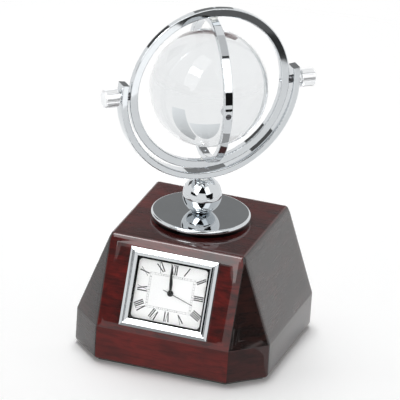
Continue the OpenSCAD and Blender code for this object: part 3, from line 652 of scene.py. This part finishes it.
disc_place = Matrix.Translation((0, 0, (FELT_T + BASE_H) * MM))
disc = placed(lathe(turned_disc(), TURNED_STEPS), "disc", disc_place)
finish_piece("turned_disc", disc, "base", FINISHES["chrome"], ["base_disc"])
# faces of the foot below the band's height take the black plating: painted shade and painted reflection under the
# rim
disc.materials.append(FINISHES["painted_shade_chrome"])
for face in disc.polygons:
    spot = disc_place.inverted() @ face.center / MM
    if math.hypot(spot.x, spot.y) > DISC_R - 2 * DISC_FOOT_IN and spot.z < DISC_SHADE_BAND:
        face.material_index = 1

# Bezel of the clock insert

RIM_LEAN = 17.0
STEP_LEAN = 0.08
ROUND = 0.12
ROUND_SHARE = 2.2
ROUND_STEPS = (0.0, 0.33, 0.67, 1.0)
BEZEL_SHARP = 35


def rounded(points):
    """Section with each corner after the first and before the last cut to a short curve."""
    made = [points[0]]
    for before, here, after in zip(points, points[1:], points[2:]):
        here = Vector(here)
        back = Vector(before) - here
        ahead = Vector(after) - here
        reach = min(ROUND, back.length / ROUND_SHARE, ahead.length / ROUND_SHARE)
        start = here + back.normalized() * reach
        end = here + ahead.normalized() * reach
        for part in ROUND_STEPS:
            made.append(start.lerp(here, part).lerp(here.lerp(end, part), part))
    return made + [points[-1]]


def bezel_section():
    """Section from the outer foot over the rim, groove and moulding to the seat, as (distance in, height)."""
    rim_drop = RIM_W * math.tan(math.radians(RIM_LEAN))
    rim = [(0, 0), (0, RIM_H - rim_drop), (RIM_W - STEP_LEAN, RIM_H)]
    groove = [(RIM_W, GROOVE_Z), (GROOVE_IN, GROOVE_Z)]
    moulding = [(GROOVE_IN + STEP_LEAN, CROWN_Z), (MOULDING_W, SILL_Z), (MOULDING_W, LIP_Z)]
    return rounded([*rim, *groove, *moulding, (SEAT_IN, LIP_Z), (SEAT_IN, 0)])


def mitred_frame(section, width, height):
    """Rectangular frame of one section with mitred corners."""
    bm = bmesh.new()
    rows = []
    for inward, level in section:
        x = width / 2 - inward
        y = height / 2 - inward
        corners = ((x, y), (-x, y), (-x, -y), (x, -y))
        rows.append([bm.verts.new((*corner, level)) for corner in corners])
    for low, high in zip(rows, rows[1:] + rows[:1]):
        for i in range(4):
            j = (i + 1) % 4
            bm.faces.new((low[i], low[j], high[j], high[i]))
    return bm


bezel = placed(mitred_frame(bezel_section(), BEZEL_W, BEZEL_H), "bezel", DIAL)
finish_piece("bezel", bezel, "clock_insert", FINISHES["chrome"], ["clock_bezel"], sharp=BEZEL_SHARP)
for edge in bezel.edges:
    if (edge.vertices[0] - edge.vertices[1]) % 4 == 0:
        edge.use_edge_sharp = True

# Black border on the back of the lens, and the spacer that holds the dial off it

BORDER_T = 0.12
SPACER_IN = 1.2


def walled_frame(low, high, outer, inner):
    """Closed frame between two outlines that have as many points."""
    bm = bmesh.new()
    rows = [[bm.verts.new((x, y, z)) for x, y in points]
            for points, z in ((outer, low), (outer, high), (inner, high), (inner, low))]
    count = len(outer)
    for first, second in zip(rows, rows[1:] + rows[:1]):
        for i in range(count):
            j = (i + 1) % count
            bm.faces.new((first[i], first[j], second[j], second[i]))
    return bm


edge_line = rounded_outline(LENS_W, LENS_H, LENS_CORNER)
window_line = rounded_outline(WINDOW_W, WINDOW_H, WINDOW_CORNER)
spacer_line = rounded_outline(LENS_W - SPACER_IN, LENS_H - SPACER_IN, LENS_CORNER)
border = placed(walled_frame(-BORDER_T, 0, edge_line, window_line), "lens_border", DIAL)
finish_piece("lens_border", border, "clock_insert", FINISHES["matt_black"], ["dial_frame"])
spacer = placed(walled_frame(DIAL_LEVEL, -BORDER_T, edge_line, spacer_line), "dial_spacer", DIAL)
finish_piece("dial_spacer", spacer, "clock_insert", FINISHES["black_plastic"])

# Crystal globe with a blind bore at either end of its axis

GLOBE_BANDS = 120

mouth = math.asin(GLOBE_BORE_R / GLOBE_R)
sweep = [mouth + (math.pi - 2 * mouth) * i / GLOBE_BANDS for i in range(GLOBE_BANDS + 1)]
surface = [(GLOBE_R * math.sin(a), -GLOBE_R * math.cos(a)) for a in sweep]
bore = [(0, -GLOBE_BORE_END), (GLOBE_BORE_R, -GLOBE_BORE_END)]
profile = bore + surface + [(radius, -height) for radius, height in bore[::-1]]
ball = placed(lathe(profile, TURNED_STEPS), "globe", axes(CENTRE, UP, GLOBE_AXIS))
globe = finish_piece("crystal_globe", ball, "globe", FINISHES["crystal"], ["globe"])

# Dial print

HOURS = ("XII", "I", "II", "III", "IIII", "V", "VI", "VII", "VIII", "IX", "X", "XI")
NUMERAL_X = 15.0
NUMERAL_Y = 12.0
NUMERAL_H = 4.9
THICK = 0.60
THIN = 0.21
SERIF = 0.17
LETTER_GAP = 0.30
I_WIDTH = 0.62
I_SERIF = 0.36
WIDE = 1.9
THICK_IN = 0.25
THIN_IN = 0.20
V_FOOT = 0.05
OVERHANG = 0.1
THICK_SERIF = 0.6
THIN_SERIF = 0.5
TRACK_X = 11.6
TRACK_Y = 8.5
TRACK_W = 0.9
TRACK_LINE = 0.07
TRACK_TICK = 0.11
FIVE_TICK = 2.2 * TRACK_TICK
INK_T = 0.02


def bar(bm, start, end, width):
    """Flat stroke of ink between two points of the dial."""
    start = Vector(start)
    end = Vector(end)
    along = (end - start).normalized()
    side = Vector((-along.y, along.x)) * width / 2
    outline = [start - side, end - side, end + side, start + side]
    low = [bm.verts.new((p.x, p.y, DIAL_LEVEL)) for p in outline]
    high = [bm.verts.new((p.x, p.y, DIAL_LEVEL + INK_T)) for p in outline]
    bm.faces.new(high)
    bm.faces.new(low[::-1])
    for i in range(4):
        j = (i + 1) % 4
        bm.faces.new((low[i], low[j], high[j], high[i]))


def serif(left, right, level):
    """Short level stroke that closes the end of another."""
    return (left, level), (right, level), SERIF


def glyph_strokes(letter):
    """Strokes of one Roman letter as (start, end, width), with its width; the middle line is y 0."""
    top = NUMERAL_H / 2
    if letter == "I":
        stem = ((0, -top), (0, top), THICK)
        return [stem, serif(-I_SERIF, I_SERIF, top), serif(-I_SERIF, I_SERIF, -top)], I_WIDTH
    half = WIDE / 2
    outer = half + OVERHANG
    heads = [serif(-outer, -half + THICK_SERIF, top), serif(half - THIN_SERIF, outer, top)]
    if letter == "V":
        falling = ((-half + THICK_IN, top), (0, -top), THICK)
        rising = ((half - THIN_IN, top), (V_FOOT, -top), THIN)
        return [falling, rising, *heads], WIDE
    falling = ((-half + THICK_IN, top), (half - THICK_IN, -top), THICK)
    rising = ((half - THIN_IN, top), (-half + THIN_IN, -top), THIN)
    feet = [serif(-outer, -half + THIN_SERIF, -top), serif(half - THICK_SERIF, outer, -top)]
    return [falling, rising, *heads, *feet], WIDE


def on_frame(share, half_x, half_y):
    """Direction at a share of a turn from the dial's top, and its meeting with an upright rectangle."""
    angle = 2 * math.pi * share
    ray = Vector((math.sin(angle), math.cos(angle)))
    return ray, ray * min(half_x / max(abs(ray.x), TINY), half_y / max(abs(ray.y), TINY))


def numeral(bm, text, hour):
    """One hour's numeral, its top pointing out from the dial's middle."""
    ray, middle = on_frame(hour / 12, NUMERAL_X, NUMERAL_Y)
    across = Vector((ray.y, -ray.x))
    letters = [glyph_strokes(letter) for letter in text]
    total = sum(width for strokes, width in letters) + LETTER_GAP * (len(letters) - 1)
    left = -total / 2
    for strokes, width in letters:
        shift = left + width / 2
        for start, end, stroke in strokes:
            ends = [middle + across * (x + shift) + ray * y for x, y in (start, end)]
            bar(bm, ends[0], ends[1], stroke)
        left += width + LETTER_GAP


ink = bmesh.new()
for hour, text in enumerate(HOURS):
    numeral(ink, text, hour)
for side in (-0.5, 0.5):
    x = TRACK_X + side * TRACK_W
    y = TRACK_Y + side * TRACK_W
    corners = [(x, y), (-x, y), (-x, -y), (x, -y)]
    for first, second in zip(corners, corners[1:] + corners[:1]):
        bar(ink, first, second, TRACK_LINE)
for minute in range(60):
    spot = on_frame(minute / 60, TRACK_X, TRACK_Y)[1]
    at_side = abs(spot.x) > TRACK_X - TRACK_LINE
    half_tick = Vector((TRACK_W / 2, 0)) if at_side else Vector((0, TRACK_W / 2))
    bar(ink, spot - half_tick, spot + half_tick, FIVE_TICK if minute % 5 == 0 else TRACK_TICK)
finish_piece("dial_print", placed(ink, "dial_print", DIAL), "clock_insert", FINISHES["ink"])

# Cap over the hands' hub, as (radius, height) above the second hand's level

CAP = ((0, 0), (1.15, 0), (1.15, 0.08), (1.0, 0.17), (0.7, 0.24), (0.35, 0.27), (0, 0.28))
CAP_STEPS = 48
CAP_SHARP = 50

cap = placed(lathe([(radius, SECOND_LEVEL + height) for radius, height in CAP], CAP_STEPS), "hub_cap", DIAL)
finish_piece("hub_cap", cap, "second_hand", FINISHES["matt_black"], sharp=CAP_SHARP)

# Finishes of the solids that stay

OWN_FINISH = {"left_knob": "satin", "right_knob": "satin", "front_globe_pin": "dark_steel",
              "rear_globe_pin": "dark_steel", "minute_hand": "matt_black", "hour_hand": "matt_black"}
for part in frame["record"]["subparts"]:
    solid = NODES[part["node"]]
    solid.data.materials.clear()
    solid.data.materials.append(FINISHES[OWN_FINISH.get(part["node"], part["material_slot"])])

# Studio, in metres and degrees

WORLD_LIGHT = 0.20
WORLD_TINT = (0.985, 0.995, 1.0)
FLOOR_GREY = 0.92
FLOOR_ROUGH = 0.8
FLOOR_GLOSS = 0.1
FLOOR_LIFT = 0.14
FADE_START = 0.16
FADE_END = 0.6
FLOOR_CELLS = 8
LAMP_AIM = Vector((0, 0, 0.09))

# Cards round the gimbal: corners as (bearing, rise), grey level and distance
NEAR_REACH = 1.0
BACK_REACH = 2.0
HUNG_CARDS = {
    "gap_flag": (((-96, 21.7), (-48, 21.4), (-66, 66), (-71, 66)), 0.01, NEAR_REACH),
    "right_flag": (((-52, 13), (-3, 15), (-10, -9), (-45, -4)), 0.01, NEAR_REACH),
    "left_flag": (((-111, 17), (-146, 14.5), (-141, 0)), 0.01, NEAR_REACH),
    "edge_flag": (((-40, 61.5), (5, 61.5), (5, 64.5), (-40, 64.5)), 0.03, NEAR_REACH),
    "back_card": (((96, 10), (122, 10), (122, 45), (96, 45)), 0.25, BACK_REACH),
    "side_card": (((146, 14), (170, 14), (170, 40), (146, 40)), 0.10, BACK_REACH),
}

# Level cards: corners as (x, y), height and grey level
OVERHEAD_HALF = 0.96
LEVEL_CARDS = {
    "near_flag": (((0.350, -0.10), (0.386, -0.10), (0.386, -0.20), (0.370, -0.20)), 0.002, 0.04),
    "far_flag": (((0.386, -0.10), (0.448, -0.10), (0.448, -0.22), (0.386, -0.20)), 0.002, 0.14),
    "table_card": (((0.238, -0.166), (0.365, -0.166), (0.375, -0.23), (0.238, -0.23)), 0.001, 1.4),
    "facet_flag": (((0.445, -0.08), (1.3, -0.08), (1.3, -0.50), (0.445, -0.50)), 0.003, 0.01),
    "overhead_card": (((-OVERHEAD_HALF, -OVERHEAD_HALF), (OVERHEAD_HALF, -OVERHEAD_HALF),
                       (OVERHEAD_HALF, OVERHEAD_HALF), (-OVERHEAD_HALF, OVERHEAD_HALF)), 2.2, 0.7),
    # this card is a painted shadow: the floor's shade in front of the foot band, shown only in the lacquer's
    # reflection
    "band_shadow_card": (((-0.080, -0.0525), (0.0353, -0.0525), (0.0525, -0.0353), (0.080, -0.045),
                   (0.110, -0.070), (0.110, -0.120), (-0.080, -0.120)), 0.0008, 0.42),
}

# Upright card before the clock: corners as (x, z), distance and grey level
FRONT_FLAG = ((-0.9, 0.18), (-0.2, 0.18), (-0.2, 0.294), (-0.352, 0.294), (-0.358, 0.42), (-0.9, 0.42))
FRONT_Y = -0.975
FRONT_LEVEL = 0.01

# Panels that show as lights: bearing, rise, distance, size and level
BRIGHT_CARDS = {
    "left_panel": (-113, 46, 1.25, (0.62, 1.75), 4.2),
    "strip_panel": (-113, 47, 1.15, (0.50, 0.28), 18.0),
    "right_panel": (-33, 37, 1.25, (0.62, 1.17), 1.8),
}

# Lamps that light the surfaces, with their sizes and levels
FRONT_BOX_REACH = 1.4
FRONT_BOX = CENTRE + bearing(-72, 20) * FRONT_BOX_REACH
FRONT_BOX_SIZE = (0.8, 0.8)
FRONT_BOX_LEVEL = 6.6
TOP_BOX = Vector((-0.22, 0.35, 1.8))
TOP_BOX_SIZE = (0.9, 0.9)
TOP_BOX_LEVEL = 10.5

# Globe in the 400 by 400 picture, and two pale bends of painted refraction seen through it: picture x, picture y
# and tone
GLOBE_X = 208.9
GLOBE_Y = 88.7
GLOBE_PX = 58.9
BOWL_TINT = (0.95, 0.98, 1.0)
BOWL_REACH = 0.8
BEND_STEPS = 10
PAINTED_BOWLS = {
    "near_bowl": (((176, 112, 0.92), (177, 134, 0.66), (198, 141, 0.40)),
                  ((200, 137, 0.56), (191, 128, 0.72), (188, 113, 0.86))),
    "far_bowl": (((193, 124.5, 0.92), (200, 141, 0.68), (212, 138.5, 0.62)),
                 ((213, 138, 0.62), (221, 134, 0.68), (221, 123, 0.82))),
}


def seen_directly(nodes, links):
    """One for rays from the camera and for those that metal and glass send on, nought for the rest."""
    path = nodes.new("ShaderNodeLightPath")
    first = nodes.new("ShaderNodeMath")
    first.operation = "MAXIMUM"
    links.new(path.outputs["Is Camera Ray"], first.inputs[0])
    links.new(path.outputs["Is Glossy Ray"], first.inputs[1])
    second = nodes.new("ShaderNodeMath")
    second.operation = "MAXIMUM"
    links.new(first.outputs[0], second.inputs[0])
    links.new(path.outputs["Is Transmission Ray"], second.inputs[1])
    return second.outputs[0]


def white_world():
    """White to look at, in mirrors and through glass, and a dim sky for the light that it gives."""
    world = bpy.data.worlds.new("studio")
    bpy.context.scene.world = world
    world.use_nodes = True
    nodes = world.node_tree.nodes
    links = world.node_tree.links
    shown = nodes["Background"]
    shown.inputs["Color"].default_value = (*WHITE, 1)
    shown.inputs["Strength"].default_value = 1.0
    lit = nodes.new("ShaderNodeBackground")
    lit.inputs["Color"].default_value = (*WORLD_TINT, 1)
    lit.inputs["Strength"].default_value = WORLD_LIGHT
    blend = nodes.new("ShaderNodeMixShader")
    links.new(seen_directly(nodes, links), blend.inputs["Fac"])
    links.new(lit.outputs[0], blend.inputs[1])
    links.new(shown.outputs[0], blend.inputs[2])
    links.new(blend.outputs[0], nodes["World Output"].inputs["Surface"])


def floor():
    """White table that keeps its shadow and fades into the white round it."""
    material = bpy.data.materials.new("table")
    material.use_nodes = True
    nodes = material.node_tree.nodes
    links = material.node_tree.links
    shader = nodes["Principled BSDF"]
    shader.inputs["Base Color"].default_value = (FLOOR_GREY, FLOOR_GREY, FLOOR_GREY, 1)
    shader.inputs["Roughness"].default_value = FLOOR_ROUGH
    shader.inputs["Specular IOR Level"].default_value = FLOOR_GLOSS
    glow = nodes.new("ShaderNodeEmission")
    level = nodes.new("ShaderNodeMath")
    level.operation = "MULTIPLY"
    level.inputs[1].default_value = FLOOR_LIFT
    links.new(seen_directly(nodes, links), level.inputs[0])
    links.new(level.outputs[0], glow.inputs["Strength"])
    total = nodes.new("ShaderNodeAddShader")
    links.new(shader.outputs[0], total.inputs[0])
    links.new(glow.outputs[0], total.inputs[1])
    reach = nodes.new("ShaderNodeVectorMath")
    reach.operation = "LENGTH"
    links.new(nodes.new("ShaderNodeTexCoord").outputs["Object"], reach.inputs[0])
    fade = nodes.new("ShaderNodeMapRange")
    fade.interpolation_type = "SMOOTHSTEP"
    fade.inputs["From Min"].default_value = FADE_START
    fade.inputs["From Max"].default_value = FADE_END
    links.new(reach.outputs["Value"], fade.inputs["Value"])
    edge = nodes.new("ShaderNodeMixShader")
    links.new(fade.outputs["Result"], edge.inputs["Fac"])
    links.new(total.outputs[0], edge.inputs[1])
    links.new(nodes.new("ShaderNodeBsdfTransparent").outputs[0], edge.inputs[2])
    links.new(edge.outputs[0], nodes["Material Output"].inputs["Surface"])
    bm = bmesh.new()
    bmesh.ops.create_grid(bm, x_segments=FLOOR_CELLS, y_segments=FLOOR_CELLS, size=FADE_END)
    mesh = bpy.data.meshes.new("table")
    bm.to_mesh(mesh)
    bm.free()
    mesh.materials.append(material)
    obj = bpy.data.objects.new("table", mesh)
    bpy.context.collection.objects.link(obj)
    return obj


def glowing(name, colour):
    """Material of a card that shows one colour in any light, and its emission."""
    material = bpy.data.materials.new(name)
    material.use_nodes = True
    nodes = material.node_tree.nodes
    glow = nodes.new("ShaderNodeEmission")
    glow.inputs["Color"].default_value = (*colour, 1)
    material.node_tree.links.new(glow.outputs[0], nodes["Material Output"].inputs["Surface"])
    return material, glow


def hang(name, mesh, through=False):
    """Card out of the picture: seen in metal and lacquer, or only through the crystal."""
    obj = bpy.data.objects.new(name, mesh)
    bpy.context.collection.objects.link(obj)
    obj.visible_camera = False
    obj.visible_diffuse = False
    obj.visible_glossy = not through
    obj.visible_transmission = through
    obj.visible_shadow = False


def card_mesh(name, points):
    """Mesh of one face on a list of corners."""
    mesh = bpy.data.meshes.new(name)
    mesh.from_pydata(points, [], [list(range(len(points)))])
    return mesh


def flag(name, points, level):
    """Flat card of one grey on a list of corners."""
    mesh = card_mesh(name, points)
    mesh.materials.append(glowing(name, (level, level, level))[0])
    hang(name, mesh)


def seen_through(x, y):
    """Place behind the globe that its crystal shows at a point of the picture."""
    right = (x - GLOBE_X) / GLOBE_PX
    down = (y - GLOBE_Y) / GLOBE_PX
    off = math.hypot(right, down)
    bend = math.degrees(2 * (math.asin(off) - math.asin(off / CRYSTAL_INDEX)))
    turn = 90 + VIEW_TURN + bend * right / off
    rise = -VIEW_RISE + bend * down / off
    return CENTRE + bearing(turn, rise) * BOWL_REACH


def smooth(start, middle, end):
    """Points of a bend that is drawn towards its middle corner, each with its tone."""
    start = Vector(start)
    middle = Vector(middle)
    end = Vector(end)
    parts = [i / BEND_STEPS for i in range(BEND_STEPS + 1)]
    return [start.lerp(middle, part).lerp(middle.lerp(end, part), part) for part in parts]


def painted_refraction_card(name, corners):
    """Card behind the object that only the crystal shows, a painted refraction; each corner is picture x, picture
    y and tone.
    """
    mesh = card_mesh(name, [seen_through(x, y) for x, y, tone in corners])
    shade = mesh.attributes.new("shade", "FLOAT", "POINT")
    shade.data.foreach_set("value", [tone for x, y, tone in corners])
    material, glow = glowing(name, BOWL_TINT)
    source = material.node_tree.nodes.new("ShaderNodeAttribute")
    source.attribute_name = "shade"
    material.node_tree.links.new(source.outputs["Fac"], glow.inputs["Strength"])
    mesh.materials.append(material)
    hang(name, mesh, through=True)


def aimed(place):
    """Rotation that faces the object from a place."""
    return (LAMP_AIM - place).to_track_quat("-Z", "Y")


def bright_card(name, place, size, level):
    """Panel facing the object that shows as a light in metal and lacquer."""
    spin = aimed(place)
    x = size[0] / 2
    y = size[1] / 2
    corners = [Vector((-x, -y, 0)), Vector((x, -y, 0)), Vector((x, y, 0)), Vector((-x, y, 0))]
    flag(name, [place + spin @ corner for corner in corners], level)


def softbox(name, place, size, level):
    """White area lamp that faces the object and shows in no mirror; at level 1 it is as bright as white."""
    lamp = bpy.data.lights.new(name, "AREA")
    lamp.shape = "RECTANGLE"
    lamp.size = size[0]
    lamp.size_y = size[1]
    lamp.energy = level * math.pi * size[0] * size[1]
    obj = bpy.data.objects.new(name, lamp)
    bpy.context.collection.objects.link(obj)
    obj.visible_camera = False
    obj.visible_glossy = False
    obj.location = place
    obj.rotation_euler = aimed(place).to_euler()
    return obj


def keep_off(lamp, *others):
    """Stop one lamp from lighting some objects."""
    group = bpy.data.collections.new(lamp.name + "_keeps_off")
    for obj in others:
        group.objects.link(obj)
    for entry in group.collection_objects:
        entry.light_linking.link_state = "EXCLUDE"
    lamp.light_linking.receiver_collection = group


white_world()
table = floor()
for name, (outline, level, reach) in HUNG_CARDS.items():
    flag(name, [CENTRE + bearing(turn, rise) * reach for turn, rise in outline], level)
for name, (outline, height, level) in LEVEL_CARDS.items():
    flag(name, [(x, y, height) for x, y in outline], level)
flag("front_flag", [(x, FRONT_Y, z) for x, z in FRONT_FLAG], FRONT_LEVEL)
for name, bends in PAINTED_BOWLS.items():
    painted_refraction_card(name, [corner for bend in bends for corner in smooth(*bend)])
for name, (turn, rise, reach, size, level) in BRIGHT_CARDS.items():
    bright_card(name, CENTRE + bearing(turn, rise) * reach, size, level)
front_box = softbox("front_box", FRONT_BOX, FRONT_BOX_SIZE, FRONT_BOX_LEVEL)
keep_off(front_box, table, globe)
top_box = softbox("top_box", TOP_BOX, TOP_BOX_SIZE, TOP_BOX_LEVEL)
keep_off(top_box, globe)

# Camera

CLIP_START = 0.05
CLIP_END = 50


def viewpoint():
    """Placement of the camera, whose picture leans by VIEW_ROLL."""
    back = bearing(VIEW_TURN - 90, VIEW_RISE)
    right = bearing(VIEW_TURN, 0)
    level_up = back.cross(right)
    roll = math.radians(VIEW_ROLL)
    eye_x = right * math.cos(roll) + level_up * math.sin(roll)
    return axes(VIEW_AIM + back * VIEW_DISTANCE, eye_x, back)


camera = bpy.data.cameras.new("camera")
camera.lens = LENS
camera.sensor_width = SENSOR
camera.clip_start = CLIP_START
camera.clip_end = CLIP_END
eye = bpy.data.objects.new("camera", camera)
bpy.context.collection.objects.link(eye)
eye.matrix_world = viewpoint()
scene = bpy.context.scene
scene.camera = eye
scene.view_settings.view_transform = "Standard"
